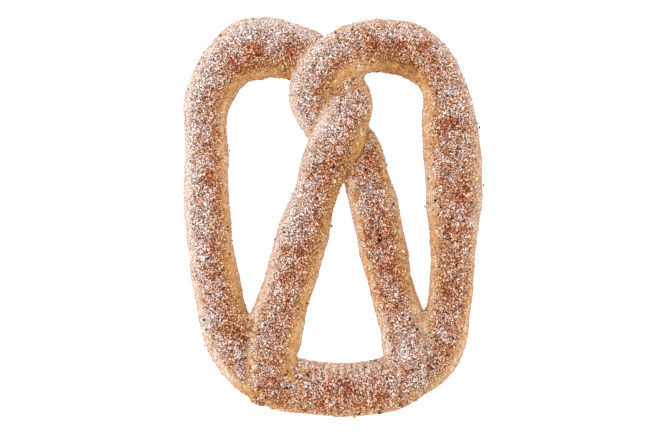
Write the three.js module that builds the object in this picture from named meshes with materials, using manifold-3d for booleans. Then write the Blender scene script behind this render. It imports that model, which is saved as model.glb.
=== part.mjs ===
// A hand-rolled soft pretzel, in millimetres, lying flat on z = 0 with +Z up.
//
// It is one rope of dough. From the middle of the bottom bar each half runs round a heel, up a side and over
// a shoulder. The two halves twist round each other, come back down as the two arms, and each arm's tip is
// pressed onto the heel on its own side. Baking fuses whatever touches, so the pretzel is one solid.
// The origin is the middle of its footprint, and +Y points from the bar to the shoulders.

import * as THREE from 'three';
import { mergeVertices } from 'three/addons/utils/BufferGeometryUtils.js';
import Module from 'manifold-3d';

// ---- Driving dimensions ----

const LENGTH = 165;        // bar to shoulders
const WIDTH = 123.2;        // over the two sides
const HEIGHT = 17.4;       // the rope's usual height, before its underside is flattened
const PRESSED = 13.6;      // its height where another strand crosses over it
const CROSSING = 9.4;      // how far the strand on top of a crossing is lifted off the tray
const FLATTENED = 1.1;     // what the baking tray takes off the round underside

const TIP_ROUND = 8.5;     // length over which the rope's two ends round off
const SQUARENESS = 2.25;   // superellipse power of the section, where 2 is a plain ellipse
const LUMP = 0.022;        // how uneven the rope's girth is, as a share of it
const RIPPLE = 0.2;        // depth of the ripples in its skin

const RING_STEP = 3.15;    // spacing of the rings along the rope
const SIDES = 24;          // faces round the rope
const TIP_RINGS = 5;       // rings in each rounded end

const CRUST = { color: 0xd2a06c, roughness: 0.85, metalness: 0 };

// ---- The rope's route, from the left tip to the right tip ----

// A station that the rope's middle passes, with the rope's width there. Lift raises it off the tray.
function at(x, y, width, { lift = 0, height = HEIGHT } = {}) {
  return {
    middle: new THREE.Vector3(x, y, lift + height / 2 - FLATTENED),
    half: new THREE.Vector3(width / 2, height / 2, 0),
  };
}

const leftArm = [
  at(-29.6, -73.3, 14.8, { lift: 4, height: 9.6 }),        // tip, on the left heel
  at(-26.8, -59.8, 21.9, { lift: 3.8, height: 12.8 }),
  at(-23.0, -43.9, 22.5, { lift: 1.2, height: 16.4 }),
  at(-17.6, -26.5, 20.1),
  at(-12.7, -8.5, 21.1),
  at(-7.7, 7.4, 17.6),
];
const leftTwist = [
  at(-1.6, 24.8, 19.1, { lift: 5.2, height: 16 }),
  at(3.9, 36.4, 20.1, { lift: CROSSING, height: 15.4 }),   // over the right strand
  at(7.1, 47.7, 18.5, { lift: 3.2, height: 18 }),          // out to the right
  at(-2.0, 60.1, 19.9, { height: PRESSED }),               // under the right strand
];
const leftShoulder = [
  at(-16.0, 68.1, 22.9),
  at(-31.4, 69.7, 25.7, { height: 18.4 }),
  at(-43.1, 63.3, 21.2, { height: 18 }),
];
const leftSide = [
  at(-51.8, 47.0, 18.9),
  at(-52.1, 26.5, 17.4),
  at(-51.1, -5.4, 18.5),
  at(-47.3, -31.4, 18.9),
];
const leftHeel = [
  at(-40.7, -52.7, 22.2, { height: 15 }),
  at(-25.5, -67.3, 22.4, { height: PRESSED }),             // pressed under the left tip
];
const bar = [
  at(-8.1, -70.8, 22.4),
  at(12.3, -71.3, 21.5),
];
const rightHeel = [
  at(30.0, -66.7, 21.4, { height: PRESSED }),              // pressed under the right tip
  at(43.2, -55.6, 21.0, { height: 15 }),
];
const rightSide = [
  at(48.5, -35.4, 17.7),
  at(49.8, -17.4, 17.9),
  at(50.0, 12.5, 23.0, { height: 18 }),
  at(48.8, 34.4, 23.8, { height: 18 }),
];
const rightShoulder = [
  at(45.8, 54.7, 17.2),
  at(34.6, 67.3, 21.8),
  at(17.3, 70.5, 21.5, { lift: 1.6 }),
];
const rightTwist = [
  at(0.1, 64.3, 19.1, { lift: CROSSING, height: 15.6 }),   // over the left strand
  at(-8.7, 50.7, 18.5, { lift: 3.4, height: 17.6 }),       // out to the left
  at(-1.8, 37.6, 18.5, { height: PRESSED }),               // under the left strand
  at(9.6, 28.8, 19.4, { height: 15 }),
];
const rightArm = [
  at(15.3, 11.5, 18.7),
  at(19.8, -8.3, 19.1),
  at(24.2, -28.2, 18.5),
  at(29.2, -44.7, 18.3, { lift: 1.2, height: 16.4 }),
  at(31.1, -57.2, 19.7, { lift: 3.8, height: 12.8 }),
  at(33.6, -70.7, 14.8, { lift: 4, height: 9.6 }),         // tip, on the right heel
];

// The rope is joined from three runs, because none of them crosses itself.
const runs = [
  [...leftArm, ...leftTwist, ...leftShoulder],
  [...leftSide, ...leftHeel, ...bar, ...rightHeel, ...rightSide],
  [...rightShoulder, ...rightTwist, ...rightArm],
];
const stations = runs.flat();
const route = new THREE.CatmullRomCurve3(stations.map((station) => station.middle));
const girth = new THREE.CatmullRomCurve3(stations.map((station) => station.half));
route.arcLengthDivisions = 2000;
const ropeLength = route.getLength();

// ---- Geometry ----

// How much thicker than usual the uneven rope is, at a length along it.
function lump(along) {
  return LUMP * (Math.sin(along / 7.3) + 0.7 * Math.sin(along / 4.1 + 1.7));
}

// How far its skin stands out, at a length along it and an angle round it.
function ripple(along, angle) {
  return RIPPLE * Math.sin(3 * angle + along / 5.3) * Math.sin(2 * angle + along / 3.7);
}

// Cosine or sine drawn out towards the corners of a square.
function squared(value) {
  return Math.sign(value) * Math.abs(value) ** (2 / SQUARENESS);
}

// One ring of points round the rope, drawn in to the given scale where an end rounds off.
function ringAt({ along, scale }) {
  const t = route.getUtoTmapping(along / ropeLength);
  const middle = route.getPoint(t);
  const half = girth.getPoint(t);
  const tangent = route.getTangent(t);
  const side = new THREE.Vector3(tangent.y, -tangent.x, 0).normalize();
  const up = new THREE.Vector3().crossVectors(side, tangent);
  const points = Array.from({ length: SIDES }, (_, k) => {
    const angle = (2 * Math.PI * k) / SIDES;
    const grow = scale * (1 + lump(along) + ripple(along, angle) / half.x);
    return middle.clone()
      .addScaledVector(side, half.x * squared(Math.cos(angle)) * grow)
      .addScaledVector(up, half.y * squared(Math.sin(angle)) * grow);
  });
  return { along, middle, points };
}

// Where the rope has its rings: evenly along it, and close together in each rounded end.
function ringPlaces() {
  const tip = Array.from({ length: TIP_RINGS }, (_, k) => {
    const turn = (Math.PI / 2) * ((k + 1) / (TIP_RINGS + 1));
    return { along: TIP_ROUND * (1 - Math.cos(turn)), scale: Math.sin(turn) };
  });
  const plain = ropeLength - 2 * TIP_ROUND;
  const steps = Math.round(plain / RING_STEP);
  const even = Array.from({ length: steps + 1 }, (_, i) => {
    return { along: TIP_ROUND + (plain * i) / steps, scale: 1 };
  });
  const otherTip = tip.map(({ along, scale }) => ({ along: ropeLength - along, scale })).reverse();
  return [...tip, ...even, ...otherTip];
}

// The solid inside a closed mesh whose triangles share their points.
function solidOf(wasm, coordinates, triangles) {
  return new wasm.Manifold(new wasm.Mesh({
    numProp: 3,
    vertProperties: new Float32Array(coordinates),
    triVerts: new Uint32Array(triangles),
  }));
}

// A length of rope through some rings, closed at each end by a fan round one point.
function ropeBetween(wasm, rings, firstEnd, lastEnd) {
  const points = [...rings.flatMap((ring) => ring.points), firstEnd, lastEnd];
  const first = points.length - 2;
  const last = points.length - 1;
  const lastRing = (rings.length - 1) * SIDES;
  const triangles = [];
  for (let k = 0; k < SIDES; k++) {
    const next = (k + 1) % SIDES;
    for (let start = 0; start < lastRing; start += SIDES) {
      const [a, b] = [start + k, start + next];
      triangles.push(a, a + SIDES, b, b, a + SIDES, b + SIDES);
    }
    triangles.push(first, k, next, last, lastRing + next, lastRing + k);
  }
  return solidOf(wasm, points.flatMap((point) => point.toArray()), triangles);
}

// The number of the last ring in each run, half-way from the run's last station to the next one.
function lastRings(rings) {
  let count = 0;
  return runs.map((run) => {
    count += run.length;
    const t = Math.min(1, (count - 0.5) / (stations.length - 1));
    const here = route.getPoint(t);
    const away = rings.map((ring) => ring.middle.distanceTo(here));
    return count < stations.length ? away.indexOf(Math.min(...away)) : rings.length - 1;
  });
}

// The whole rope, fused to itself where it crosses.
function rope(wasm) {
  const rings = ringPlaces().map(ringAt);
  let first = 0;
  const pieces = lastRings(rings).map((last) => {
    const run = rings.slice(first, last + 1);
    const firstEnd = first === 0 ? route.getPoint(0) : run[0].middle;
    const lastEnd = last === rings.length - 1 ? route.getPoint(1) : run.at(-1).middle;
    first = last;
    return ropeBetween(wasm, run, firstEnd, lastEnd);
  });
  return pieces.reduce((joined, piece) => joined.add(piece));
}

// Everything below the top of the baking tray.
function belowTray(wasm) {
  const block = new THREE.BoxGeometry(2 * WIDTH, 2 * LENGTH, HEIGHT).translate(0, 0, -HEIGHT / 2);
  block.deleteAttribute('normal').deleteAttribute('uv');
  const merged = mergeVertices(block);
  return solidOf(wasm, merged.attributes.position.array, merged.index.array);
}

// The solid as a three.js geometry, centred on the origin and brought to its exact width and length.
function geometryOf(solid) {
  const mesh = solid.getMesh();
  const geometry = new THREE.BufferGeometry()
    .setAttribute('position', new THREE.BufferAttribute(new Float32Array(mesh.vertProperties), 3))
    .setIndex(new THREE.BufferAttribute(new Uint32Array(mesh.triVerts), 1));
  geometry.computeBoundingBox();
  const size = geometry.boundingBox.getSize(new THREE.Vector3());
  const centre = geometry.boundingBox.getCenter(new THREE.Vector3());
  geometry.translate(-centre.x, -centre.y, 0);
  geometry.scale(WIDTH / size.x, LENGTH / size.y, 1);
  return geometry;
}

function pretzelMesh(wasm) {
  const solid = rope(wasm).subtract(belowTray(wasm));
  const mesh = new THREE.Mesh(geometryOf(solid), new THREE.MeshStandardMaterial(CRUST));
  mesh.name = 'pretzel';
  return mesh;
}

const wasm = await Module();
wasm.setup();

const pretzel = new THREE.Group();
pretzel.add(pretzelMesh(wasm));

export default pretzel;
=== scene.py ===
# %% [markdown]
# # A soft pretzel in cinnamon sugar
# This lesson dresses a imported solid, one rope of dough twisted into a pretzel, as a baked and sugared one.
# First comes the camera, then the dough's own skin, then the sugar on it, grain by grain, and last the light.
# All lengths are in metres, +Z is up, and the pretzel lies on z = 0 with its bottom bar towards -Y.

import bpy
import numpy as np
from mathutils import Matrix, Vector, noise


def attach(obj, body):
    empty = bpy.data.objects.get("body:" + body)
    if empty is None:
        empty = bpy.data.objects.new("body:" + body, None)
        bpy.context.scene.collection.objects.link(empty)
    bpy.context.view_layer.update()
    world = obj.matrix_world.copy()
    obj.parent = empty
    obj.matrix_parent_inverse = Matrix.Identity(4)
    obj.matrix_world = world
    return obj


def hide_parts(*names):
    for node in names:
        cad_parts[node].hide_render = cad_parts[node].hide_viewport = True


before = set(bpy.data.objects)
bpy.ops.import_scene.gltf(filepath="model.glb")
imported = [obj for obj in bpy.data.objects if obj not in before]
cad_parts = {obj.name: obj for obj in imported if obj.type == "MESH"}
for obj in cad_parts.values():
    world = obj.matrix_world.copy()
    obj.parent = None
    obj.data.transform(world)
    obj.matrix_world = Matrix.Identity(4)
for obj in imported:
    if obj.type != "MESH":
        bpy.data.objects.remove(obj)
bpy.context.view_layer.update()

MM = 0.001

# %% [markdown]
# ## The camera
# The pretzel is seen from straight above, so the camera hangs over it and looks down. A long lens from far
# away keeps the sides of the rope from showing more on one side than on the other. The object fills most of
# the picture's height, and it sits a little to the right of the middle.

# %% Hang the camera
CAMERA_HEIGHT = 0.909
LENS = 118.9
VIEW_CENTRE = (-1.07 * MM, -1.35 * MM)

bpy.ops.object.camera_add(location=(*VIEW_CENTRE, CAMERA_HEIGHT), rotation=(0, 0, 0))
camera = bpy.context.object
camera.data.lens = LENS
camera.data.sensor_width = 36
camera.data.clip_start = 0.01
bpy.context.scene.camera = camera
print("the camera hangs at", tuple(round(x, 4) for x in camera.location))

# %% [markdown]
# ## Small helpers
# Operators act on whatever is selected, and loading the frame leaves its nodes selected. So each step first
# selects one piece alone. The second helper adds a modifier, sets it and applies it, as by hand in the
# modifier tab.

# %% Select one piece, and finish a piece with a modifier
def select_only(piece):
    bpy.ops.object.select_all(action="DESELECT")
    piece.select_set(True)
    bpy.context.view_layer.objects.active = piece


def apply_modifier(piece, kind, **settings):
    select_only(piece)
    bpy.ops.object.modifier_add(type=kind)
    modifier = piece.modifiers[-1]
    for name, value in settings.items():
        setattr(modifier, name, value)
    bpy.ops.object.modifier_apply(modifier=modifier.name)


def points_of(mesh):
    points = np.empty(len(mesh.vertices) * 3)
    mesh.vertices.foreach_get("co", points)
    return points.reshape(-1, 3)


def normals_of(mesh):
    normals = np.empty(len(mesh.vertices) * 3)
    mesh.vertex_normals.foreach_get("vector", normals)
    return normals.reshape(-1, 3)


def smoothstep(low, high, value):
    t = np.clip((value - low) / (high - low), 0, 1)
    return t * t * (3 - 2 * t)


def clouds(points, size, seed, octaves=2):
    """Soft noise from about -1 to 1 whose blobs are about that size, at each point."""
    shift = Vector((seed * 7.31, seed * 3.77, seed * 5.13))
    return np.array([noise.fractal(Vector(p) / size + shift, 1.0, 2.0, octaves) for p in points])


# %% [markdown]
# ## The dough
# A baked pretzel has a taut, slightly lumpy skin, and where two strands touch, the dough has grown together
# in a soft crease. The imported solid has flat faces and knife-sharp creases. Its skin could be subdivided, but
# the sharp creases would stay. A voxel remesh of a merged copy gives an even skin all over, which a little
# smoothing then softens in the creases as the oven does.

# %% Copy the solid, merge it and give it an even skin
VOXEL = 0.74 * MM

dough = bpy.data.objects.new("dough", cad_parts["pretzel"].data.copy())
bpy.context.scene.collection.objects.link(dough)
dough.data.materials.clear()
select_only(dough)
bpy.ops.object.mode_set(mode="EDIT")
bpy.ops.mesh.select_all(action="SELECT")
bpy.ops.mesh.remove_doubles(threshold=1e-6)
bpy.ops.mesh.normals_make_consistent(inside=False)
bpy.ops.object.mode_set(mode="OBJECT")
apply_modifier(dough, "REMESH", mode="VOXEL", voxel_size=VOXEL, use_smooth_shade=True)
apply_modifier(dough, "SMOOTH", factor=0.5, iterations=9)
print("even skin:", len(dough.data.polygons), "faces")

# %% [markdown]
# ## Creases
# In the oven the strands swell and grow together, so the valleys between them fill up from below. Averaging
# each point with its neighbours shows which way the skin would relax. Here only the points that would rise
# are let go, so valleys fill and nothing else moves.


# %% Let the dough grow together in the creases
def neighbour_mean(mesh, values, rounds):
    """Values averaged over neighbouring points again and again, which spreads them out smoothly."""
    edges = np.empty(len(mesh.edges) * 2, int)
    mesh.edges.foreach_get("vertices", edges)
    start, end = edges.reshape(-1, 2).T
    count = np.bincount(start, minlength=len(values)) + np.bincount(end, minlength=len(values))
    for _ in range(rounds):
        total = np.zeros_like(values)
        for column in range(values.shape[1]):
            total[:, column] = (np.bincount(start, values[end, column], len(values))
                                + np.bincount(end, values[start, column], len(values)))
        values = total / count[:, None]
    return values


RISES = 2
SPREAD_ROUNDS = 28
OUTWARD, UPWARD = (0.1, 0.6), (0.2, 0.6)  # how far out and up a point's move must lead

skin = points_of(dough.data)
for _ in range(RISES):
    normals = normals_of(dough.data)
    move = neighbour_mean(dough.data, skin, SPREAD_ROUNDS) - skin
    distance = np.linalg.norm(move, axis=1) + 1e-9
    outward = (move * normals).sum(axis=1) / distance
    upward = move[:, 2] / distance
    skin = skin + move * (smoothstep(*OUTWARD, outward) * smoothstep(*UPWARD, upward))[:, None]
    dough.data.vertices.foreach_set("co", skin.ravel())
    dough.data.update()
print("filled by at most", round(distance.max() / MM, 2), "mm in the last round")

# %% [markdown]
# ## Where a point is on the rope
# Sugar, browning and wrinkles all follow the rope: sugar lies along its top, golden dough shows along its
# edges, and wrinkles run across it. So each point of the skin is given rope coordinates, from the same
# stations that the rope was rolled through: how far along it is, and how far round. The last four numbers of
# a station tell of the rope's left and right as one walks along it. The first two say how much of the half
# width the thick sugar leaves bare there, and below 0 it goes on over the edge. The other two say how white
# the slope is powdered, from 1 for frost to 0 for golden dough. Below 0 the dough is toasted and darker, and
# that darker colour is partly painted shade on slopes turned away from the lamp.

# %% Name the stations of the rope
# x, y, width, lift and height in millimetres, bare on the left and the right, frost on the left and the right
LEFT_ARM = [
    (-29.6, -73.3, 14.8, 4.0, 9.6, 0.50, 0.45, -0.20, 0.50),
    (-26.8, -59.8, 21.9, 3.8, 12.8, 0.40, 0.42, 0.60, 0.15),
    (-23.0, -43.9, 22.5, 1.2, 16.4, 0.32, 0.38, 0.55, 0.15),
    (-17.6, -26.5, 20.1, 0.0, 17.4, 0.28, 0.36, 0.60, 0.10),
    (-12.7, -8.5, 21.1, 0.0, 17.4, 0.15, 0.30, 0.80, 0.15),
    (-7.7, 7.4, 17.6, 0.0, 17.4, 0.08, 0.28, 1.00, 0.10),
]
LEFT_TWIST = [
    (-1.6, 24.8, 19.1, 5.2, 16.0, 0.06, 0.25, 0.70, -0.50),
    (3.9, 36.4, 20.1, 9.4, 15.4, 0.05, 0.25, 0.90, 0.10),
    (7.1, 47.7, 18.5, 3.2, 18.0, 0.15, 0.35, 0.50, 0.50),
    (-2.0, 60.1, 19.9, 0.0, 13.6, 0.30, 0.30, 0.50, 0.50),
]
LEFT_SHOULDER = [
    (-16.0, 68.1, 22.9, 0.0, 17.4, 0.30, -0.05, -0.10, 1.00),
    (-31.4, 69.7, 25.7, 0.0, 18.4, 0.28, -0.10, -0.15, 0.95),
    (-43.1, 63.3, 21.2, 0.0, 18.0, 0.40, -0.06, -0.45, 1.00),
]
LEFT_SIDE = [
    (-51.8, 47.0, 18.9, 0.0, 17.4, 0.40, 0.12, 0.25, 0.95),
    (-52.1, 26.5, 17.4, 0.0, 17.4, 0.38, 0.20, 0.30, 0.95),
    (-51.1, -5.4, 18.5, 0.0, 17.4, 0.35, 0.20, 0.15, 0.90),
    (-47.3, -31.4, 18.9, 0.0, 17.4, 0.38, 0.12, -0.10, 0.74),
]
LEFT_HEEL = [
    (-40.7, -52.7, 22.2, 0.0, 15.0, 0.10, 0.34, 0.40, 0.66),
    (-25.5, -67.3, 22.4, 0.0, 13.6, 0.10, 0.25, 0.50, 0.40),
]
BAR = [
    (-8.1, -70.8, 22.4, 0.0, 17.4, -0.15, 0.02, 0.62, 0.22),
    (12.3, -71.3, 21.5, 0.0, 17.4, -0.15, 0.02, 0.68, 0.22),
]
RIGHT_HEEL = [
    (30.0, -66.7, 21.4, 0.0, 13.6, 0.10, 0.25, 0.50, 0.40),
    (43.2, -55.6, 21.0, 0.0, 15.0, 0.10, 0.40, 0.45, 0.40),
]
RIGHT_SIDE = [
    (48.5, -35.4, 17.7, 0.0, 17.4, 0.25, 0.30, 0.42, 0.28),
    (49.8, -17.4, 17.9, 0.0, 17.4, 0.28, 0.28, 0.20, 0.42),
    (50.0, 12.5, 23.0, 0.0, 18.0, 0.28, 0.26, 0.45, 0.50),
    (48.8, 34.4, 23.8, 0.0, 18.0, 0.30, 0.23, 0.28, 0.60),
]
RIGHT_SHOULDER = [
    (45.8, 54.7, 17.2, 0.0, 17.4, 0.38, 0.08, 0.20, 0.78),
    (34.6, 67.3, 21.8, 0.0, 17.4, 0.38, -0.15, -0.80, 0.67),
    (17.3, 70.5, 21.5, 1.6, 17.4, 0.35, -0.15, -0.50, 0.67),
]
RIGHT_TWIST = [
    (0.1, 64.3, 19.1, 9.4, 15.6, 0.40, 0.05, 0.15, 0.80),
    (-8.7, 50.7, 18.5, 3.4, 17.6, 0.35, 0.15, -0.35, 1.00),
    (-1.8, 37.6, 18.5, 0.0, 13.6, 0.30, 0.50, 0.40, 0.80),
    (9.6, 28.8, 19.4, 0.0, 15.0, 0.25, 0.30, 0.30, 0.50),
]
RIGHT_ARM = [
    (15.3, 11.5, 18.7, 0.0, 17.4, 0.30, 0.30, 0.35, 0.50),
    (19.8, -8.3, 19.1, 0.0, 17.4, 0.30, 0.22, 0.22, 0.34),
    (24.2, -28.2, 18.5, 0.0, 17.4, 0.35, 0.22, 0.15, 0.32),
    (29.2, -44.7, 18.3, 1.2, 16.4, 0.40, 0.20, 0.50, 0.50),
    (31.1, -57.2, 19.7, 3.8, 12.8, 0.32, 0.22, 0.85, 0.85),
    (33.6, -70.7, 14.8, 4.0, 9.6, 0.30, 0.20, 0.50, 0.50),
]
FLATTENED = 1.1

# %% Draw a smooth line through the stations
STEPS = 20

stations = np.array(LEFT_ARM + LEFT_TWIST + LEFT_SHOULDER + LEFT_SIDE + LEFT_HEEL + BAR + RIGHT_HEEL
                    + RIGHT_SIDE + RIGHT_SHOULDER + RIGHT_TWIST + RIGHT_ARM)
stations[:, :5] *= MM


def smooth_line(rows, steps):
    """The rows of a Catmull-Rom spline through the given rows, with that many steps between two."""
    padded = np.vstack([2 * rows[0] - rows[1], rows, 2 * rows[-1] - rows[-2]])
    line = []
    for before, start, end, after in zip(padded, padded[1:], padded[2:], padded[3:]):
        for t in np.arange(steps) / steps:
            line.append(0.5 * (2 * start + (end - before) * t
                               + (2 * before - 5 * start + 4 * end - after) * t ** 2
                               + (3 * start - before - 3 * end + after) * t ** 3))
    return np.array(line + [rows[-1]])


line = smooth_line(stations, STEPS)
half_width = line[:, 2] / 2
half_height = line[:, 4] / 2
middle = np.column_stack([line[:, 0], line[:, 1], line[:, 3] + half_height - FLATTENED * MM])
walked = np.concatenate([[0], np.cumsum(np.linalg.norm(np.diff(middle, axis=0), axis=1))])
heading = np.gradient(middle[:, :2], axis=0)
heading /= np.linalg.norm(heading, axis=1, keepdims=True)
leftward = np.column_stack([-heading[:, 1], heading[:, 0]])
print("the rope is", round(walked[-1], 3), "m long")

# %% Give each point of the skin its rope coordinates
AT_A_TIME = 4000  # points that are compared with the whole line at once
SAME_STRAND = 30 * MM  # two places this near along the rope are on the same strand


def rope_coordinates(points):
    """For each point: the nearest step of the line, how far left and how far up it is, as shares of the
    half width and half height there, and how far it is from the next strand, as a share too."""
    nearest = np.empty(len(points), int)
    next_strand = np.empty(len(points))
    for first in range(0, len(points), AT_A_TIME):
        some = points[first:first + AT_A_TIME]
        away = np.zeros((len(some), len(middle)))
        for axis, scale in ((0, half_width), (1, half_width), (2, half_height)):
            away += ((some[:, axis:axis + 1] - middle[:, axis]) / scale) ** 2
        closest = away.argmin(axis=1)
        nearest[first:first + AT_A_TIME] = closest
        away[np.abs(walked[closest][:, None] - walked) < SAME_STRAND] = np.inf
        next_strand[first:first + AT_A_TIME] = np.sqrt(away.min(axis=1))
    offset = points - middle[nearest]
    left = (offset[:, :2] * leftward[nearest]).sum(axis=1) / half_width[nearest]
    up = offset[:, 2] / half_height[nearest]
    return nearest, left, up, next_strand


skin = points_of(dough.data)
nearest, left, up, next_strand = rope_coordinates(skin)
print("left from", round(left.min(), 2), "to", round(left.max(), 2))

# %% [markdown]
# ## Lumps and wrinkles
# Hand-rolled dough is never quite even. Its skin wrinkles across the rope where the bar was bent and pulled,
# folds where a strand bulges out of the twist, and each tip stands up from the heel that it was pressed onto.
# These are true relief and not a bump in the material, because they show along the outline and catch the
# light. First each point learns whether it is at such a place.

# %% Find the tips, the bar and the bulge
TIP_SPANS = ((0, 2), (37, 39))  # from which station to which the tips run
HEEL_SPANS = ((16, 19), (20, 23))  # and the heels under them
ON_HEEL = (1.25, 0.9)  # how near the heel's middle a point is on it, as a share
GROOVE_PLACE, GROOVE_WIDTH = 0.78, 0.13  # where the groove round a tip runs, as shares too
BAR_START = (-13 * MM, -5 * MM)
BAR_END = (24 * MM, 15 * MM)
BAR_TOP = -55 * MM
BULGE_CENTRE = (-1 * MM, 57 * MM)
BULGE_RADII = (8 * MM, 6 * MM)
BULGE_LEFT, BULGE_UP = (-0.2, 0.1), (0.0, 0.4)
LEVEL = (-0.25, 0.25)  # from facing a little down to facing a little up
FAR = 9.0


def nearness(spans):
    """How far each point is from those spans of the line, seen from above, as a share of its half width."""
    share = np.full(len(skin), FAR)
    for first, last in spans:
        for step in range(first * STEPS, last * STEPS):
            away = np.hypot(skin[:, 0] - middle[step, 0], skin[:, 1] - middle[step, 1])
            share = np.minimum(share, away / half_width[step])
    return share


normals = normals_of(dough.data)
facing_up = smoothstep(*LEVEL, normals[:, 2])
tips = nearness(TIP_SPANS)
seam = np.exp(-((tips - GROOVE_PLACE) / GROOVE_WIDTH) ** 2)
on_heel = smoothstep(*ON_HEEL, nearness(HEEL_SPANS))
on_bar = smoothstep(*BAR_START, skin[:, 0]) * smoothstep(*BAR_END, skin[:, 0])
on_bar *= (skin[:, 1] < BAR_TOP)
on_bulge = np.exp(-((skin[:, 0] - BULGE_CENTRE[0]) / BULGE_RADII[0]) ** 2
                  - ((skin[:, 1] - BULGE_CENTRE[1]) / BULGE_RADII[1]) ** 2)
on_bulge *= smoothstep(*BULGE_LEFT, left) * smoothstep(*BULGE_UP, up)
print("points on the bar:", int((on_bar > 0.5).sum()), "and on the bulge:", int((on_bulge > 0.5).sum()))

# %% [markdown]
# ## Press in the relief
# A sine across the bar makes the wrinkles and a slow noise sways them, so that they don't look combed. Soft
# noise at two sizes makes the lumps and the fine puckers. Each point moves along its normal, and nothing
# moves below the tray.

# %% Raise the lumps and press in the wrinkles
LUMPS = 0.55 * MM
PUCKERS = 0.16 * MM
WRINKLES = 0.30 * MM
WRINKLE_PITCH = 2.9 * MM
WRINKLE_SWAY = 2.2
FOLDS = 0.9 * MM
FOLD_PITCH = 0.32
FOLD_SWAY = 1.5
UPPER = (-0.2, 0.5)  # the upper part of the rope, where wrinkles show
TIP_RISE = 1.3 * MM
TIP_TOP = (0.75, 0.45)
TIP_GROOVE = 1.1 * MM
OFF_THE_TRAY = (0.0, 2.5 * MM)  # relief fades out towards the tray

sway = clouds(skin, size=9 * MM, seed=3, octaves=1)
across = np.sin(2 * np.pi * (skin[:, 0] / WRINKLE_PITCH) + WRINKLE_SWAY * sway)
relief = LUMPS * clouds(skin, size=14 * MM, seed=1, octaves=1) + PUCKERS * clouds(skin, size=2.6 * MM, seed=2)
relief += WRINKLES * on_bar * across * smoothstep(*UPPER, up)
relief -= FOLDS * on_bulge * (0.5 + 0.5 * np.cos(2 * np.pi * left / FOLD_PITCH + FOLD_SWAY * sway))
relief += facing_up * on_heel * (TIP_RISE * smoothstep(*TIP_TOP, tips) - TIP_GROOVE * seam)
relief *= smoothstep(*OFF_THE_TRAY, skin[:, 2])
skin = skin + normals * relief[:, None]
skin[:, 2] = np.maximum(skin[:, 2], 0)
dough.data.vertices.foreach_set("co", skin.ravel())
dough.data.update()
normals = normals_of(dough.data)
print("relief from", round(relief.min() / MM, 2), "to", round(relief.max() / MM, 2), "mm")

# %% [markdown]
# ## Where the sugar lies
# The sugar was tossed on by hand. It lies thick along the top of the rope and thins out down the slopes,
# where some stay golden and others are powdered white. On top it is uneven too: heaps of cinnamon look rusty,
# and where butter soaked through it looks golden. Numbers for each point of the skin say how much of each
# there is. They guide both the grains and the colour between them, so the two always agree. A pair of numbers
# under one name says where such an amount starts and where it is full.

# %% Find the creases
WIDE_ROUNDS, NARROW_ROUNDS = 40, 4  # averaging that levels a crease, and that smooths what was found
CREASED = (0.02, 0.35)  # how hollow the skin is in a crease, in millimetres
SEAM_CREASE = 0.8  # how much of a crease the groove round a tip is

spread = neighbour_mean(dough.data, skin, WIDE_ROUNDS)
hollow = ((spread - skin) * normals).sum(axis=1) / MM
crease = smoothstep(*CREASED, neighbour_mean(dough.data, hollow[:, None], NARROW_ROUNDS)[:, 0])
crease = np.maximum(crease, SEAM_CREASE * seam * on_heel * facing_up)
print("hollow, 5 to 99%:", np.round(np.percentile(hollow, [5, 50, 90, 95, 99]), 3))

# %% [markdown]
# ## Spots that stand out
# No two pretzels are sugared alike. Heaps of cinnamon, frosted patches, golden dough, smooth bulges and
# seams painted darker, as shade in the crease, each have their own place on this one, so they are listed by
# place and size. A noise frays them, because a plain round spot would look stamped on.

# %% Name the spots
# x, y and radius of each, in millimetres
RUSTY_SPOTS = [
    (37, 69, 3), (39, 69.5, 2), (21, -8, 3), (26.5, -9, 2), (46, 37, 2), (49, 38.5, 3.5), (-6, -12, 2),
    (-41, 62, 3), (24, -2, 2), (-6.4, -16, 2), (-30, 68, 3), (-13, -14.5, 2.5), (23.5, 69.5, 3), (28, 70, 3),
    (15, -9, 2), (-36, 63.5, 3), (30, -64.4, 2), (32.5, -62, 1.5), (-21, -77.5, 3), (-4, -3, 2), (7, 20, 2),
    (24, 65.5, 2), (25, -18, 3), (19, -74, 3), (6.5, -71, 4), (-29, 62, 2.5), (-17, 68, 3), (54.5, 12, 2.5),
    (-2, 51, 2), (11.5, 26, 2.5), (17, 71, 2.5), (-1.5, -71, 3), (-47.5, 35, 3), (21.5, -21, 2.5),
    (-3, 21, 3), (-50, 17, 3), (-48, -12, 3), (-20, -25, 3), (-40, -47, 4), (41, -62, 2.5), (52, 8, 4),
    (49, -4, 4), (-30, -70.5, 1.8), (-5, -77, 3), (47, -30, 3), (3, 62, 3),
]
FROSTED_SPOTS = [
    (-37, 75, 5), (-22, 75, 4), (-15, 58, 3), (-11, 5, 4), (-50, 66, 4), (-6, 37, 3), (-1, 43, 3),
    (24, -29, 3), (-22, 68, 3), (12, 5, 4), (-12, 63, 3), (47.7, 43.7, 2.5), (12, -65, 3), (28, 75, 4),
    (29, -56, 3), (-53, 56, 3), (-5, 61, 2), (2, 34, 3), (24, 75, 3), (12, 11, 3), (-10, 56, 3),
    (-17, -4, 3), (-58, 14, 4), (-55, 46, 3), (-55, -3, 4), (44, 21, 3), (38, -45, 3), (-29, -44, 5),
    (-35, -56, 4), (-26, -62, 3), (2, 69, 3), (-24, -71.5, 1.5), (-10.5, 57, 4.5), (-12.5, 50, 5),
    (-5, 67, 3.5), (-33, -60, 3), (-32, -65, 3), (-17, 4, 4),
]
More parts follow.
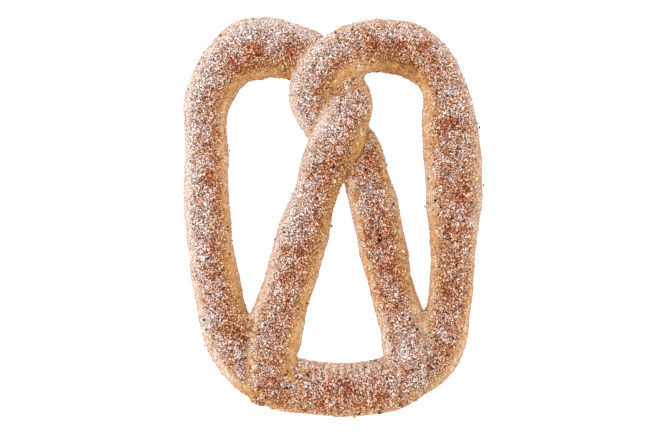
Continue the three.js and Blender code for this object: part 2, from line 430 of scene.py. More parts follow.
GOLDEN_SPOTS = [
    (-18, -62.5, 2.5), (-36, 58.5, 3), (31, 60, 4), (-43, -17, 2.5), (-41.5, -24, 3), (12, 34, 3),
    (16.5, -25, 2.5), (36.5, 59, 3), (18, 63, 3), (30, -25, 3), (-45, 46, 3), (-30, -72.5, 2), (-8, -21, 3),
    (-35, -69, 2.5), (-26, -76.5, 3), (-33, -73, 3.5), (-14.6, -43, 3), (27, 61, 3), (-15, -50, 3),
    (33, -37, 2.5), (40, 23, 2.5), (55.5, 43.7, 1.5), (57.5, 31.5, 1.5), (46, -53.4, 1.5), (25, -51, 2),
    (13, 57, 4), (1, 51, 2), (-29, -57, 2.5), (-17, -66, 2.5), (10, -11, 1.5), (33.5, -73, 3.5),
    (38, -69.5, 2.5),
]
SMOOTH_SPOTS = [
    (-33.5, -57.5, 3), (-33, -61.5, 3), (-32, -65.5, 2.5), (-32, -51, 2.2), (-31, -46, 1.8), (39, -46, 2.2),
    (40, -50.5, 2.2), (41, -54.5, 1.8), (12.5, 35, 2), (15, 36.5, 1.5), (14.5, 58, 4.5), (11, 60.5, 2.5),
    (10, 54, 2.5), (6, 51.5, 1.8),
]
# painted shade: seams between strands, where the crust and its sugar are painted darker as shade in the crease
SHADED_SEAM_SPOTS = [
    (-2.7, 50.3, 1.9), (-1, 52, 1.8), (-1.1, 50.3, 2.4), (6.3, 20, 1.3), (7.4, 22.5, 1.3), (5.5, 17.2, 1.3),
    (-33.1, -43.1, 1.2), (-34.3, -46.4, 1.2), (-35.5, -50.5, 1.2), (-36.3, -54.6, 1.2), (-37.2, -59, 1.2),
    (39.9, -57.5, 1.1), (40.3, -60, 1.1), (32.5, -50.5, 1.0), (34.6, -51, 1.0), (-22.4, -69, 2),
    (-26, -73, 1.5),
]

# %% Let the spots have ragged edges
RAGGED = (-0.45, 0.35)

ragged = clouds(skin, size=2.6 * MM, seed=14)


def near_spots(spots):
    """How much each point of the skin is in one of the spots, from 0 to 1, seen from above."""
    share = np.zeros(len(skin))
    for x, y, radius in spots:
        away = np.hypot(skin[:, 0] - x * MM, skin[:, 1] - y * MM) / (radius * MM)
        share = np.maximum(share, np.exp(-away ** 2))
    return share * smoothstep(*RAGGED, ragged + 0.5 * (share - 0.5))


print("the noise that frays them:", round(ragged.min(), 2), "to", round(ragged.max(), 2))

# %% [markdown]
# ## Slopes and rims
# Seen from above, the rope has a level top, a slope on either side and a rim where it turns under. The slope
# that sugar was thrown at, the windy one, is powdered white, and a slope tucked in beside the next strand
# stays clean. These places are told apart first, because sugar, dust and browning all follow them.

# %% Tell the slopes and the rims of the rope apart
FLANK = (0.15, 0.75)  # how far out from the top of the rope its slope runs, in half widths
EDGE = (0.86, 1.02)  # the outermost skin, the last that is seen from above
RIM_START = 0.74  # where the golden rim begins; frost and a westward slope draw it further in
RIM = (0.0, 0.3)
DRAWN_BY_FROST, DRAWN_BY_WEST = 0.10, 0.20
TUCKED = (1.5, 1.1)  # how near the next strand is where a slope is tucked in beside it
BESIDE = (2.1, 1.4)  # and where it only stands beside it
SOUTH_EDGE_SHADE = 0.7  # painted shade: how much less pale powder and painted light there is on an edge that faces south
# pale powder along the outline: fine sugar, and painted light from the room and the floor
EDGE_POWDER_AND_LIGHT = 0.6
LEANING = (-0.7, 0.7)  # from a right slope to a left slope

aside = np.abs(left)
bare = np.where(left > 0, line[nearest, 5], line[nearest, 6])
powder = np.where(left > 0, line[nearest, 7], line[nearest, 8])
windy = np.clip(powder, 0, 1)
west = np.clip(-normals[:, 0], 0, 1)
south = np.clip(-normals[:, 1], 0, 1)
flank = smoothstep(*FLANK, aside)
tucked = smoothstep(*TUCKED, next_strand)
rim = smoothstep(*RIM, aside - RIM_START + DRAWN_BY_FROST * windy + DRAWN_BY_WEST * west) * (1 - tucked)
# the outline is painted paler, as light from the room and the floor, but not beside the next strand, and less
# on edges facing south, which is painted shade
edge_dust_and_light = smoothstep(*EDGE, aside) * (1 - smoothstep(*BESIDE, next_strand)) * (1 - SOUTH_EDGE_SHADE * south)
powdered = windy + EDGE_POWDER_AND_LIGHT * edge_dust_and_light * (1 - windy)
lean = smoothstep(*LEANING, left)
windward = np.clip(line[nearest, 7], 0, 1) * lean + np.clip(line[nearest, 8], 0, 1) * (1 - lean)
print("tucked in:", round(tucked.mean(), 3), "on the rim:", round(rim.mean(), 3), "of the skin")

# %% [markdown]
# ## Toasted, shaded, smooth and buttery places
# Some slopes took more heat and are toasted, and their darker colour is partly painted shade on slopes turned
# away from the lamp. The seams between strands are painted darker as shade in the crease, and hold a little
# sugar too. Where a strand bulges its skin is stretched smooth and pale. Butter came through in small patches,
# more on the slopes than on top.

# %% Find the toasted, shaded, smooth and buttery places
TOASTED_SLOPE = (0.1, 0.6)
LESS_TOASTED_EDGE = 0.5
BUTTERY = (0.25, 0.75)
BUTTERY_TOP = 0.2  # how buttery the top of the rope is, next to its slopes

# painted shade: the seams are painted darker, as shade in the crease, and hold a little sugar
seam_shade = near_spots(SHADED_SEAM_SPOTS) * facing_up
# toasted slopes, whose darker colour is partly painted shade, joined with the painted shade of the seams
toasted_and_shaded = np.clip(-powder, 0, 1) * smoothstep(*TOASTED_SLOPE, aside) * (1 - LESS_TOASTED_EDGE * edge_dust_and_light)
toasted_and_shaded = np.maximum(toasted_and_shaded, seam_shade)
smooth = near_spots(SMOOTH_SPOTS) * (1 - seam_shade)
broad = clouds(skin, size=11 * MM, seed=6, octaves=1)
clumps = clouds(skin, size=3.2 * MM, seed=8)
buttery = smoothstep(*BUTTERY, clouds(skin, size=4 * MM, seed=12)) * (BUTTERY_TOP + (1 - BUTTERY_TOP) * flank)
golden = np.maximum(near_spots(GOLDEN_SPOTS), buttery)
print("buttery:", round(golden.mean(), 3), "smooth:", round(smooth.mean(), 3), "of the skin")

# %% [markdown]
# ## The thick sugar
# Sugar thrown on a rope of dough stays on its top and thins out where a slope gets steep. The stations say
# how far down it reaches on either side, and a noise frays its border. At the rope's two ends the dough turns
# down in front as well, so there the sugar keeps to what is level and high.

# %% Lay the thick sugar along the top
BARER = 1.2  # how strongly a station's bare share draws the border in
FRAYED = 0.13  # how far the border wanders
BORDER = (0.32, -0.30)  # from past the border to well inside it
END_LEVEL = (0.05, 0.65)
END_HEIGHT = (-0.1, 0.4)
LESS_IN_CREASE, LESS_ON_BUTTER, LESS_ON_SMOOTH, LESS_ON_RIM = 0.5, 0.7, 0.8, 0.7
IN_SEAMS = 0.7

reach = 1.0 - BARER * bare + FRAYED * clouds(skin, size=5 * MM, seed=5, octaves=3)
inside = smoothstep(*BORDER, aside - reach)
at_end = np.minimum(nearest, len(middle) - 1 - nearest) < STEPS / 4
inside *= np.where(at_end, smoothstep(*END_LEVEL, normals[:, 2]) * smoothstep(*END_HEIGHT, up), 1)
sugared = inside * facing_up * (1 - LESS_IN_CREASE * crease) * (1 - LESS_ON_BUTTER * golden)
sugared = sugared * (1 - LESS_ON_SMOOTH * smooth) * (1 - LESS_ON_RIM * rim)
sugared = np.maximum(sugared, IN_SEAMS * seam_shade)
print("under thick sugar:", round(sugared.mean(), 3), "of the skin")

# %% [markdown]
# ## Frost and rust
# Where nearly all the sugar is white it looks frosted, most of all on the windy slope and along the ridges of
# the bar's wrinkles. Where cinnamon is heaped up, and down in the wrinkles, it looks rusty. Both are shares
# from 0 to 1, and the grains and the colours are mixed by them later.

# %% Frost the sugar and heap up the cinnamon
FROST = 0.40  # the usual share of frost
BROAD_FROST, CLUMPED_FROST = 0.30, 0.75
WIND_FROST, USUAL_WIND = 0.9, 0.42
SPOT_FROST, SPOT_RUST = 0.45, 0.5
WRINKLE_FROST, RIM_FROST = 0.42, 0.5
HEAPED = (0.25, 0.75)
HEAP_RUST, RUSTY_SPOT, WRINKLE_RUST = 0.65, 0.8, 0.5
WRINKLE_BOTTOM = (0.1, 0.8)
WRINKLE_CLUMPS, MORE_CLUMPS = (-0.3, 0.3), 0.2

rusty_spots = near_spots(RUSTY_SPOTS)
frosted = FROST + BROAD_FROST * broad + CLUMPED_FROST * clumps + WIND_FROST * (windward - USUAL_WIND)
frosted += SPOT_FROST * near_spots(FROSTED_SPOTS) - SPOT_RUST * rusty_spots
frosted += WRINKLE_FROST * on_bar * across * smoothstep(*UPPER, up) + RIM_FROST * rim * windy
frosted = np.clip(frosted, 0, 1)
heaps = smoothstep(*HEAPED, clouds(skin, size=3.4 * MM, seed=13))
in_wrinkles = on_bar * smoothstep(*WRINKLE_BOTTOM, -across)
in_wrinkles = in_wrinkles * smoothstep(*WRINKLE_CLUMPS, clumps + MORE_CLUMPS)
rusted = np.maximum(RUSTY_SPOT * rusty_spots, HEAP_RUST * heaps * (1 - frosted))
rusted = np.maximum(rusted, WRINKLE_RUST * in_wrinkles) * inside
print("frosted:", round(frosted.mean(), 3), "rusted:", round(rusted.mean(), 3), "on average")

# %% [markdown]
# ## Fine dust and golden slopes
# The finest sugar settles as dust on the powdered slopes and along the edges, and along the outline its pale
# dust is partly painted light from the bright room and the floor. It stops short of the underside, which lay
# on the tray. The other slopes, the valleys between strands and the rims stay golden, as no sugar hides the
# dough there.

# %% Let fine dust settle and keep the bare slopes golden
DUSTY_SLOPE = (0.35, 0.85)
LESS_DUST_TUCKED, DUST_CLUMPS, EDGE_DUST_AND_LIGHT, SMOOTH_DUST = 0.6, 0.15, 0.8, 0.55
LESS_DUST_IN_CREASE, LESS_DUST_UNDER = 0.5, 0.8
UNDERSIDE = (0.25, -0.52)  # from just above the middle of the rope to well below it
UNDER_CLUMPS = 0.15
GOLDEN_SLOPE, LESS_INSIDE, LESS_ON_RUST = 0.8, 0.45, 0.7
VALLEY = (0.45, 0.9)
GOLDEN_VALLEY, GOLDEN_SMOOTH, GOLDEN_RIM, LESS_ON_FROST, LESS_IN_SEAMS = 0.8, 0.5, 0.4, 0.8, 0.6

settled = smoothstep(*DUSTY_SLOPE, aside) * powdered * (1 - LESS_DUST_TUCKED * tucked)
settled = np.clip(settled + DUST_CLUMPS * clumps, 0, 1)
underside = smoothstep(*UNDERSIDE, up + UNDER_CLUMPS * clumps)
# along the outline the dust is thicker: fine sugar, and painted light
settled = np.maximum(settled, EDGE_DUST_AND_LIGHT * edge_dust_and_light) * (1 - LESS_DUST_IN_CREASE * crease)
settled = np.maximum(settled, SMOOTH_DUST * smooth) * (1 - LESS_DUST_UNDER * underside)
golden_slope = GOLDEN_SLOPE * flank * (1 - powdered) * (1 - LESS_INSIDE * inside)
golden = np.maximum(golden, golden_slope) * (1 - LESS_ON_RUST * rusted)
golden = np.maximum(golden, GOLDEN_VALLEY * tucked * smoothstep(*VALLEY, aside) * (1 - powdered))
golden_rim = GOLDEN_RIM * rim * (1 - LESS_ON_FROST * windy)
golden = np.maximum(golden, np.maximum(GOLDEN_SMOOTH * smooth, golden_rim)) * (1 - LESS_IN_SEAMS * seam_shade)
print("settled:", round(settled.mean(), 3), "golden:", round(golden.mean(), 3), "on average")

# %% [markdown]
# ## Browning
# The oven browns the top most. The sides low down are painted paler, as light from the glowing floor, except
# in the creases, and the hot tray browns the underside. All these numbers are then kept on the mesh as
# attributes for the material to read. A painted image would do too, but it would need unwrapping and be as
# coarse as its pixels.

# %% Brown the dough and keep the numbers on the mesh
BROWN = 0.35  # the usual share of browning
# browning where the dough is toasted, with painted shade on shaded slopes and in the seams
SUGAR_BROWN, TOASTED_AND_SHADED_BROWN, UNDER_BROWN = 0.60, 0.4, 0.40
DUST_PALE, FLOOR_LIGHT_PALE, SMOOTH_PALE = 0.25, 0.31, 0.3
LOW_SIDE = (0.50, -0.15)
LOW_WANDER = 0.25  # how far the start of the pale low side wanders up and down

# painted light: the low sides are paler where the glowing floor would light them, but not in the creases
floor_lit_low_side = smoothstep(*LOW_SIDE, up + LOW_WANDER * broad) * (1 - crease)
browned = BROWN + SUGAR_BROWN * sugared - DUST_PALE * settled - FLOOR_LIGHT_PALE * floor_lit_low_side
browned = browned + TOASTED_AND_SHADED_BROWN * toasted_and_shaded + UNDER_BROWN * underside - SMOOTH_PALE * smooth
browned = np.clip(browned, 0, 1)

SKIN_VALUES = {"sugared": sugared, "browned": browned, "settled": settled,
               "frosted": frosted, "rusted": rusted, "golden": golden,
               "along": walked[nearest], "around": left * half_width[nearest]}
for name, values in SKIN_VALUES.items():
    attribute = dough.data.attributes.new(name, "FLOAT", "POINT")
    attribute.data.foreach_set("value", values)
    print(name, "5 to 95%:", np.round(np.percentile(values, [5, 25, 50, 75, 95]), 3))

# %% [markdown]
# ## The baked dough
# The crust is browned on top and stays golden on the sides. Cinnamon powder and the finest sugar cling to it
# between the grains. A few noises in object coordinates make all this, the same from every side.


# %% Helpers for materials
def linear(red, green, blue):
    """A colour given as on a screen, 0 to 255, as the shader wants it."""
    channels = [c / 255 for c in (red, green, blue)]
    return tuple(c / 12.92 if c <= 0.04045 else ((c + 0.055) / 1.055) ** 2.4 for c in channels) + (1.0,)


class Shader:
    """A material's node tree, with short words for the nodes that this pretzel needs."""

    def __init__(self, name):
        self.material = bpy.data.materials.new(name)
        self.material.use_nodes = True
        self.nodes = self.material.node_tree.nodes
        self.links = self.material.node_tree.links
        self.surface = self.nodes["Principled BSDF"]
        self.place = self.nodes.new("ShaderNodeTexCoord").outputs["Object"]

    def put(self, value, socket):
        if isinstance(value, bpy.types.NodeSocket):
            self.links.new(value, socket)
        else:
            socket.default_value = value

    def attribute(self, name):
        node = self.nodes.new("ShaderNodeAttribute")
        node.attribute_name = name
        return node.outputs["Fac"]

    def noise(self, size, detail, place=None):
        node = self.nodes.new("ShaderNodeTexNoise")
        self.links.new(place or self.place, node.inputs["Vector"])
        node.inputs["Scale"].default_value = 1 / size
        node.inputs["Detail"].default_value = detail
        return node.outputs["Fac"]

    def ranged(self, value, low, high, to_low=0.0, to_high=1.0):
        node = self.nodes.new("ShaderNodeMapRange")
        node.interpolation_type = "SMOOTHSTEP"
        self.put(value, node.inputs["Value"])
        for name, number in (("From Min", low), ("From Max", high), ("To Min", to_low), ("To Max", to_high)):
            node.inputs[name].default_value = number
        return node.outputs["Result"]

    def maths(self, operation, first, second):
        node = self.nodes.new("ShaderNodeMath")
        node.operation = operation
        self.put(first, node.inputs[0])
        self.put(second, node.inputs[1])
        return node.outputs[0]

    def mixed(self, share, first, second):
        node = self.nodes.new("ShaderNodeMix")
        node.data_type = "RGBA"
        self.put(share, node.inputs["Factor"])
        self.put(first, node.inputs[6])
        self.put(second, node.inputs[7])
        return node.outputs[2]

    def rope_place(self, stretch):
        """The place along and round the rope, squeezed along it so that noise there is drawn out."""
        node = self.nodes.new("ShaderNodeCombineXYZ")
        self.links.new(self.maths("MULTIPLY", self.attribute("along"), 1 / stretch), node.inputs["X"])
        self.links.new(self.attribute("around"), node.inputs["Y"])
        return node.outputs["Vector"]

    def bump(self, height, depth):
        node = self.nodes.new("ShaderNodeBump")
        node.inputs["Distance"].default_value = depth
        self.links.new(height, node.inputs["Height"])
        self.links.new(node.outputs["Normal"], self.surface.inputs["Normal"])


# %% Name the colours of cinnamon sugar
# The darkest, a middling and the lightest grain: where it is plain, frosted, rusty and golden
PLAIN = (linear(76, 30, 12), linear(190, 119, 74), linear(230, 191, 162))
FROSTED = (linear(72, 32, 20), linear(188, 158, 147), linear(228, 218, 214))
RUSTY = (linear(76, 14, 2), linear(174, 84, 38), linear(218, 152, 114))
GOLDEN = (linear(130, 76, 28), linear(187, 138, 76), linear(226, 196, 144))
MIDDLING = 0.4


def sugar_colour(shader, tint):
    """The colour of sugar at each place, from its darkest at tint 0 to its lightest at 1."""
    stops = []
    for plain, frosted, rusty, golden in zip(PLAIN, FROSTED, RUSTY, GOLDEN):
        stop = shader.mixed(shader.attribute("frosted"), plain, frosted)
        stop = shader.mixed(shader.attribute("rusted"), stop, rusty)
        stops.append(shader.mixed(shader.attribute("golden"), stop, golden))
    colour = shader.mixed(shader.ranged(tint, 0.0, MIDDLING), stops[0], stops[1])
    return shader.mixed(shader.ranged(tint, MIDDLING, 1.0), colour, stops[2])


# %% [markdown]
# ## The crust's colour
# The colour is built up as the real crust was: dough first, from pale through golden to brown, with streaks
# along the rope from rolling it. Then comes the dark powder between the grains, and last the white dust.

# %% Name the colours of the dough
PALE_DOUGH = linear(217, 191, 149)
GOLDEN_DOUGH = linear(197, 145, 82)
BROWN_CRUST = linear(156, 95, 52)
SUGAR_DUST = linear(219, 209, 203)

# %% Bake the crust from pale to brown
NOISE_SPAN = (0.3, 0.7)  # a noise's usual values
PATCHES, PATCH_SIZE = 0.15, 5 * MM
STREAKS, STREAK_SIZE, STREAK_STRETCH = 0.14, 0.5 * MM, 7.0
GOLDEN_AT, BROWN_AT = 0.40, 0.95

crust = Shader("crust")
patches = crust.noise(PATCH_SIZE, detail=3.0)
streaks = crust.noise(STREAK_SIZE, detail=2.0, place=crust.rope_place(STREAK_STRETCH))
patchy = crust.ranged(patches, *NOISE_SPAN, -PATCHES, PATCHES)
streaky = crust.ranged(streaks, *NOISE_SPAN, -STREAKS, STREAKS)
toasted = crust.maths("ADD", crust.maths("ADD", crust.attribute("browned"), patchy), streaky)
colour = crust.mixed(crust.ranged(toasted, 0.0, GOLDEN_AT), PALE_DOUGH, GOLDEN_DOUGH)
colour = crust.mixed(crust.ranged(toasted, GOLDEN_AT, BROWN_AT), colour, BROWN_CRUST)

# %% Powder and dust it
THICK_FROM, THICK_TO = 0.05, 0.8  # where the powder between the grains starts and is full
LEAST_POWDER = 0.16
POWDER_SIZE, POWDER_SPAN = 0.7 * MM, (0.34, 0.52)
POWDER_TINT = 0.04
DUST_SIZE, DUST_SPAN = 0.45 * MM, (0.48, 0.60)
FROST_FROM, FROST_TO = 0.1, 0.9
LEAST_DUST, FROST_DUST, SETTLED_DUST = 0.1, 0.35, 0.84

thick = crust.ranged(crust.attribute("sugared"), THICK_FROM, THICK_TO, LEAST_POWDER, 1.0)
powdery = crust.ranged(crust.noise(POWDER_SIZE, detail=2.0), *POWDER_SPAN)
powdery = crust.maths("MULTIPLY", powdery, thick)
colour = crust.mixed(powdery, colour, sugar_colour(crust, POWDER_TINT))
dusty = crust.ranged(crust.attribute("frosted"), FROST_FROM, FROST_TO, LEAST_DUST, FROST_DUST)
dusty = crust.maths("MULTIPLY", crust.ranged(crust.noise(DUST_SIZE, detail=1.0), *DUST_SPAN), dusty)
dusty = crust.maths("MAXIMUM", dusty, crust.ranged(crust.attribute("settled"), 0.0, 1.0, 0.0, SETTLED_DUST))
crust.links.new(crust.mixed(dusty, colour, SUGAR_DUST), crust.surface.inputs["Base Color"])
print("the crust's colour takes", len(crust.nodes), "shader nodes")

# %% Give the crust its dull sheen and fine grain
CRUST_ROUGHNESS = 0.65
CRUST_GLOSS = 0.25
PORES, PORE_DEPTH = 0.5 * MM, 0.18 * MM

crust.surface.inputs["Roughness"].default_value = CRUST_ROUGHNESS
crust.surface.inputs["Specular IOR Level"].default_value = CRUST_GLOSS
crust.bump(crust.noise(PORES, detail=3.0), depth=PORE_DEPTH)
dough.data.materials.append(crust.material)
print("with its pores:", len(crust.nodes))

# %% [markdown]
# ## Grains and crumbs
# A sugar grain is a small crystal, a block with one end narrower than the other. A crumb of cinnamon or a
# fine grain is a mere splinter, so a wedge will do for it. A hundred thousand lie on the pretzel, so each has
# only the faces it needs. One of each is modelled by hand, and the rest are copies of its corners, each
# turned, stretched and set down in code, because no one places so many by hand.


# %% Take a small piece's shape
def shape_of(piece):
    """The corners and triangles of a small piece, which is then removed."""
    select_only(piece)
    bpy.ops.object.mode_set(mode="EDIT")
    bpy.ops.mesh.select_all(action="SELECT")
    bpy.ops.mesh.quads_convert_to_tris()
    bpy.ops.object.mode_set(mode="OBJECT")
    points = points_of(piece.data)
    triangles = np.array([list(face.vertices) for face in piece.data.polygons])
    bpy.data.objects.remove(piece)
    print("a grain of", len(points), "corners and", len(triangles), "triangles")
    return points, triangles


# %% Model one crystal
NARROW_END = (0.72, 0.62, 1.0)

bpy.ops.object.select_all(action="DESELECT")
bpy.ops.mesh.primitive_cube_add(size=1)
crystal = bpy.context.object
for face in crystal.data.polygons:
    face.select = face.normal.z > 0.9
bpy.ops.object.mode_set(mode="EDIT")
bpy.ops.mesh.select_mode(type="FACE")
bpy.ops.transform.resize(value=NARROW_END)
bpy.ops.object.mode_set(mode="OBJECT")
CRYSTAL = shape_of(crystal)

# %% Model one splinter
WEDGE = (1.0, 1.15, 0.8)

bpy.ops.object.select_all(action="DESELECT")
bpy.ops.mesh.primitive_cylinder_add(vertices=3, radius=0.55, depth=1)
splinter = bpy.context.object
bpy.ops.object.mode_set(mode="EDIT")
bpy.ops.mesh.select_all(action="SELECT")
bpy.ops.transform.resize(value=WEDGE)
bpy.ops.object.mode_set(mode="OBJECT")
SPLINTER = shape_of(splinter)

# %% Measure the skin's faces once
corner_lists = np.array([list(face.vertices) for face in dough.data.polygons])
face_area = np.empty(len(corner_lists))
dough.data.polygons.foreach_get("area", face_area)
face_sugar = sugared[corner_lists].mean(axis=1)
face_hues = {word: SKIN_VALUES[word][corner_lists].mean(axis=1) for word in ("frosted", "rusted", "golden")}
face_settled = settled[corner_lists].mean(axis=1)
face_under = underside[corner_lists].mean(axis=1)
face_toasted_and_shaded = toasted_and_shaded[corner_lists].mean(axis=1)
face_height = skin[corner_lists, 2].mean(axis=1)
print("skin:", round(face_area.sum() / MM ** 2), "square mm, under sugar:",
      round((face_area * face_sugar).sum() / MM ** 2))


# %% Find places for grains
def set_down(tries, share, spacing, seed):
    """Faces and places for up to that many grains: more where share is high, one to a cell of spacing."""
    draw = np.random.default_rng(seed)
    weight = face_area * share
    face = draw.choice(len(weight), size=tries, p=weight / weight.sum())
    a, b = draw.random((2, tries, 1))
    corners = skin[corner_lists[face]]
    spot = (corners[:, 0] * (1 - a) * (1 - b) + corners[:, 1] * a * (1 - b)
            + corners[:, 2] * a * b + corners[:, 3] * (1 - a) * b)
    _, kept = np.unique(np.floor(spot / spacing).astype(int), axis=0, return_index=True)
    kept.sort()
    return face[kept], spot[kept]


# %% Turn each grain its own way
def turned(out, tilt, draw):
    """A frame for each grain: its up axis near the skin's normal, tipped by some, and spun at random."""
    up_axis = out + tilt * draw.normal(size=out.shape)
    up_axis /= np.linalg.norm(up_axis, axis=1, keepdims=True)
    side = np.cross(up_axis, draw.normal(size=out.shape))
    side /= np.linalg.norm(side, axis=1, keepdims=True)
    return np.stack([side, np.cross(up_axis, side), up_axis], axis=1)


# %% Make one mesh of many grains
UNEVEN = (0.72, 1.15)  # how much a grain is stretched or squeezed along each of its sides
FOOT_RISE = (-0.2, 0.8)  # from a grain's foot to its top, in grain sizes above the skin


def grains(name, shape, face, spot, tint, foot_shade, size, spread, sunk, tilt, seed):
    """One mesh of many grains, which is one piece. Each grain's tint is darker towards its foot, painted shade
    where it meets the skin.
    """
    points, triangles = shape
    draw = np.random.default_rng(seed)
    out = normals[corner_lists[face]].mean(axis=1)
    out /= np.linalg.norm(out, axis=1, keepdims=True)
    frames = turned(out, tilt, draw)
    scale = size * np.exp(spread * draw.normal(size=(len(spot), 1))) * draw.uniform(*UNEVEN, (len(spot), 3))
    corners = np.einsum("gij,gki->gkj", frames, points[None] * scale[:, None])
    corners += (spot + out * (0.5 - sunk) * scale[:, 2:])[:, None]
    corners[:, :, 2] = np.maximum(corners[:, :, 2], 0)
    rise = np.einsum("gki,gi->gk", corners - spot[:, None], out) / size
    tint = np.clip(tint[:, None] - foot_shade * (1 - smoothstep(*FOOT_RISE, rise)), 0, 1)
    faces = triangles[None] + len(points) * np.arange(len(spot))[:, None, None]
    mesh = bpy.data.meshes.new(name)
    mesh.from_pydata(corners.reshape(-1, 3), [], faces.reshape(-1, 3))
    hues = {word: np.repeat(values[face], len(points)) for word, values in face_hues.items()}
    for word, values in {"tint": tint.ravel(), **hues}.items():
        attribute = mesh.attributes.new(word, "FLOAT", "POINT")
        attribute.data.foreach_set("value", values)
    piece = bpy.data.objects.new(name, mesh)
    bpy.context.scene.collection.objects.link(piece)
    print(name, len(spot), "grains,", len(mesh.polygons), "triangles")
    return piece


# %% Make the sugar materials
def sugar_material(name, roughness, gloss):
    """A grain's material, which reads the grain's own tint and the hues of the place where it lies."""
    sugar = Shader(name)
    sugar.surface.inputs["Specular IOR Level"].default_value = gloss
    sugar.links.new(sugar_colour(sugar, sugar.attribute("tint")), sugar.surface.inputs["Base Color"])
    sugar.surface.inputs["Roughness"].default_value = roughness
    return sugar.material


CRUMB = sugar_material("cinnamon_crumb", roughness=0.8, gloss=0.05)
COATED = sugar_material("coated_sugar", roughness=0.6, gloss=0.15)
DUSTED = sugar_material("dusted_sugar", roughness=0.4, gloss=0.4)
WHITE = sugar_material("white_sugar", roughness=0.25, gloss=0.5)
FINE = sugar_material("fine_sugar", roughness=0.5, gloss=0.25)
print("sugar materials:", [material.name for material in (CRUMB, COATED, DUSTED, WHITE, FINE)])

# %% [markdown]
# ## Four kinds of grain
# Cinnamon sugar is a mixture: crumbs of cinnamon, grains that cinnamon coats or only dusts, and clean white
# ones. All are scattered together, one to a cell of a fine grid, and then each is told by lot which kind it
# is, with more white where the skin is frosted and more cinnamon where it is rusty.

# %% Share the grains out by kind
SPACING = 0.45 * MM
TRIES = 98000
# The shares of crumbs, coated and dusted grains; the rest are white
SHARES_PLAIN = np.array([0.22, 0.36, 0.28])
SHARES_FROSTED = np.array([0.15, 0.14, 0.36])
SHARES_RUSTY = np.array([0.36, 0.36, 0.20])

face, spot = set_down(TRIES, face_sugar, SPACING, seed=20)
draw = np.random.default_rng(21)
luck = draw.random(len(spot))
frost = face_hues["frosted"][face][:, None]
rust = face_hues["rusted"][face][:, None]
shares = (SHARES_PLAIN * (1 - frost) + SHARES_FROSTED * frost) * (1 - rust) + SHARES_RUSTY * rust
kind = (luck[:, None] > np.cumsum(shares, axis=1)).sum(axis=1)
print(len(spot), "grains, of each kind:", np.bincount(kind))

# %% Make one piece of each kind
KINDS = [
    # name, shape, material, darkest and lightest tint, size, spread, sunk, tilt, the most there may be
    ("cinnamon_crumbs", SPLINTER, CRUMB, 0.00, 0.15, 0.44, 0.30, 0.35, 0.5, 16000),
    ("sugar_coated", SPLINTER, COATED, 0.20, 0.50, 0.50, 0.28, 0.25, 0.5, 20000),
    ("sugar_dusted", CRYSTAL, DUSTED, 0.48, 0.82, 0.50, 0.28, 0.15, 0.5, 16600),
    ("sugar_white", CRYSTAL, WHITE, 0.75, 1.00, 0.52, 0.28, 0.10, 0.5, 16600),
]
# painted shade at the foot of each grain, where it meets the skin
FOOT_SHADE = 0.42  # how much darker a grain is at its foot
TOASTED_AND_SHADED_DARKER = 0.3  # how much darker the sugar is where the dough is toasted, and where shade is painted on slopes and seams

sugar_pieces = []
for number, (name, shape, material, dark, light, size, spread, sunk, tilt, most) in enumerate(KINDS):
    chosen = draw.permutation(np.flatnonzero(kind == number))[:most]
    tint = draw.uniform(dark, light, len(chosen)) - TOASTED_AND_SHADED_DARKER * face_toasted_and_shaded[face[chosen]]
    piece = grains(name, shape, face[chosen], spot[chosen], tint, FOOT_SHADE,
                   size=size * MM, spread=spread, sunk=sunk, tilt=tilt, seed=40 + number)
    piece.data.materials.append(material)
    sugar_pieces.append(piece)

# %% [markdown]
# ## Fine sugar on the slopes
# The sides of the rope wear a thin coat of the finest sugar: white frost on the slopes it was thrown at, and
# sandy gold on the others, where it took up butter from the dough. Its grains stand out a little at the
# outline, which makes the edge of the pretzel bristle.

# %% Find where the fine sugar holds
OFF_THE_FLOOR = (0.6 * MM, 2.5 * MM)  # none lies where the dough meets the tray
OVERHANG = (-0.6, 0.1)  # from a face that hangs over to one that is upright
LESS_UNDER_SUGAR, LESS_OVERHUNG, LESS_ON_GOLD = 0.75, 0.75, 0.5

face_slope = normals[corner_lists, 2].mean(axis=1)
on_slope = smoothstep(*OFF_THE_FLOOR, face_height) * (1 - LESS_UNDER_SUGAR * face_sugar)
holding = (1 - LESS_OVERHUNG) + LESS_OVERHUNG * smoothstep(*OVERHANG, face_slope)
on_slope *= holding * (1 - LESS_ON_GOLD * face_hues["golden"])
print("fine sugar could lie on", round((face_area * on_slope).sum() / MM ** 2), "square mm")

# %% Dust the slopes
FINE_SPACING = 0.38 * MM
FINE_SIZE = 0.37 * MM
FINE_TRIES = 36000
MOST_FINE = 24900
# painted shade at the foot of each fine grain, where it meets the skin
FINE_FOOT_SHADE = 0.25
UNDER_DARKER = 0.2
TINT_SPREAD = 0.15
STRAY = 0.06  # frost where no dust settled, and sandy grains where it is thickest
FINE_KINDS = [
    # name, share of the slope, usual tint
    ("sugar_frost", STRAY + face_settled, 0.70),
    ("sugar_sand", 1 + STRAY - face_settled, 0.50),
]

for number, (name, share, usual) in enumerate(FINE_KINDS):
    face, spot = set_down(FINE_TRIES, on_slope * share, FINE_SPACING, seed=30 + number)
    chosen = draw.permutation(len(spot))[:MOST_FINE]
    face, spot = face[chosen], spot[chosen]
    tint = usual - UNDER_DARKER * face_under[face] + TINT_SPREAD * draw.normal(size=len(face))
    tint = tint - TOASTED_AND_SHADED_DARKER * face_toasted_and_shaded[face]
    fine = grains(name, SPLINTER, face, spot, tint, FINE_FOOT_SHADE,
                  size=FINE_SIZE, spread=0.30, sunk=0.20, tilt=0.5, seed=50 + number)
    fine.data.materials.append(FINE)
    sugar_pieces.append(fine)

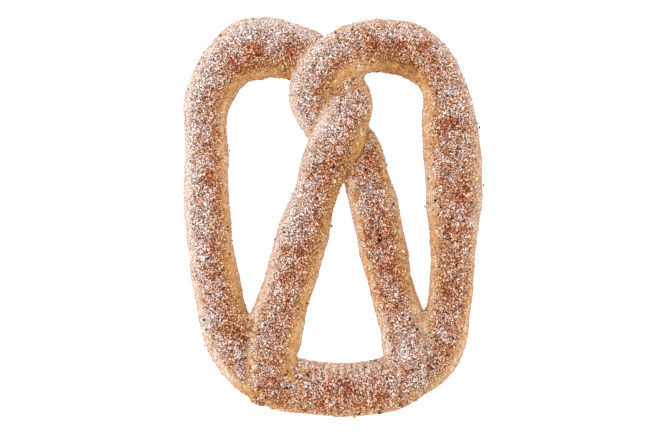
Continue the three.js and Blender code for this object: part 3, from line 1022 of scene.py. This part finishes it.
# %% [markdown]
# ## Dark specks
# About a hundred black-brown specks of burnt cinnamon lie among the sugar, some right at the edge. Each is a
# small chip, so a rough ball of twenty faces squashed flat is near enough, and no two are alike in size.

# %% Scatter the specks
SPECKS = 120
SPECK_SIZE = 1.1 * MM
SQUASHED = (1.0, 0.7, 0.5)
SPECK_SPACING = 2 * MM
LOWEST_SPECK = 3 * MM
OUTSIDE_SUGAR = 0.6  # how likely a speck is outside the thick sugar, next to one in it

bpy.ops.object.select_all(action="DESELECT")
bpy.ops.mesh.primitive_ico_sphere_add(subdivisions=1, radius=0.5)
chip = bpy.context.object
bpy.ops.object.mode_set(mode="EDIT")
bpy.ops.transform.resize(value=SQUASHED)
bpy.ops.object.mode_set(mode="OBJECT")
CHIP = shape_of(chip)

likely = (face_height > LOWEST_SPECK) * (OUTSIDE_SUGAR + (1 - OUTSIDE_SUGAR) * face_sugar)
face, spot = set_down(SPECKS, likely, SPECK_SPACING, seed=60)
specks = grains("dark_specks", CHIP, face, spot, draw.random(len(face)), 0.0,
                size=SPECK_SIZE, spread=0.25, sunk=-0.15, tilt=0.35, seed=61)
sugar_pieces.append(specks)

# %% Char the specks
DARKEST_CHAR, LIGHTEST_CHAR = linear(16, 8, 5), linear(40, 22, 14)

burnt = Shader("burnt_cinnamon")
char = burnt.mixed(burnt.attribute("tint"), DARKEST_CHAR, LIGHTEST_CHAR)
burnt.links.new(char, burnt.surface.inputs["Base Color"])
burnt.surface.inputs["Roughness"].default_value = 0.7
burnt.surface.inputs["Specular IOR Level"].default_value = 0.05
specks.data.materials.append(burnt.material)
print("pieces that lie on the dough:", [piece.name for piece in sugar_pieces])

# %% [markdown]
# ## The floor and the light
# The pretzel lies on a white sweep under a soft lamp from above and from its left, with a bright room all
# round. The floor glows a little, as an over-lit white sheet does, so that it fills the undersides of the
# rope with light.

# %% Lay the floor
FLOOR_GREY = 0.62
FLOOR_GLOW = 0.72
FLOOR_SIZE = 6
BELOW = -0.2 * MM  # just under the tray's level

bpy.ops.object.select_all(action="DESELECT")
bpy.ops.mesh.primitive_plane_add(size=FLOOR_SIZE, location=(0, 0, BELOW))
floor = bpy.context.object
floor.name = "floor"
sweep = Shader("white_sweep")
sweep.surface.inputs["Base Color"].default_value = (FLOOR_GREY, FLOOR_GREY, FLOOR_GREY, 1)
sweep.surface.inputs["Roughness"].default_value = 0.9
sweep.surface.inputs["Emission Color"].default_value = (1, 1, 1, 1)
sweep.surface.inputs["Emission Strength"].default_value = FLOOR_GLOW
floor.data.materials.append(sweep.material)
print("the floor is", FLOOR_SIZE, "m wide")

# %% Light the scene
ROOM_LIGHT = 1.55
LAMP_PLACE = (-0.72, 0.25, 0.72)
LAMP_SIZE = 0.25
LAMP_WATTS = 4.7

world = bpy.data.worlds.new("bright_room")
world.use_nodes = True
world.node_tree.nodes["Background"].inputs["Color"].default_value = (1, 1, 1, 1)
world.node_tree.nodes["Background"].inputs["Strength"].default_value = ROOM_LIGHT
bpy.context.scene.world = world

bpy.ops.object.light_add(type="AREA", location=LAMP_PLACE)
lamp = bpy.context.object
lamp.name = "side_lamp"
lamp.data.shape = "DISK"
lamp.data.size = LAMP_SIZE
lamp.data.energy = LAMP_WATTS
lamp.rotation_euler = (-Vector(LAMP_PLACE)).to_track_quat("-Z", "Y").to_euler()
bpy.context.scene.view_settings.view_transform = "Standard"
print("lamp", round(Vector(LAMP_PLACE).length, 2), "m away")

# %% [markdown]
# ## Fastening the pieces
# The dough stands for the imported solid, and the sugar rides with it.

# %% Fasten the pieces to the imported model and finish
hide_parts("pretzel")
for piece in [dough, *sugar_pieces]:
    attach(piece, "root")
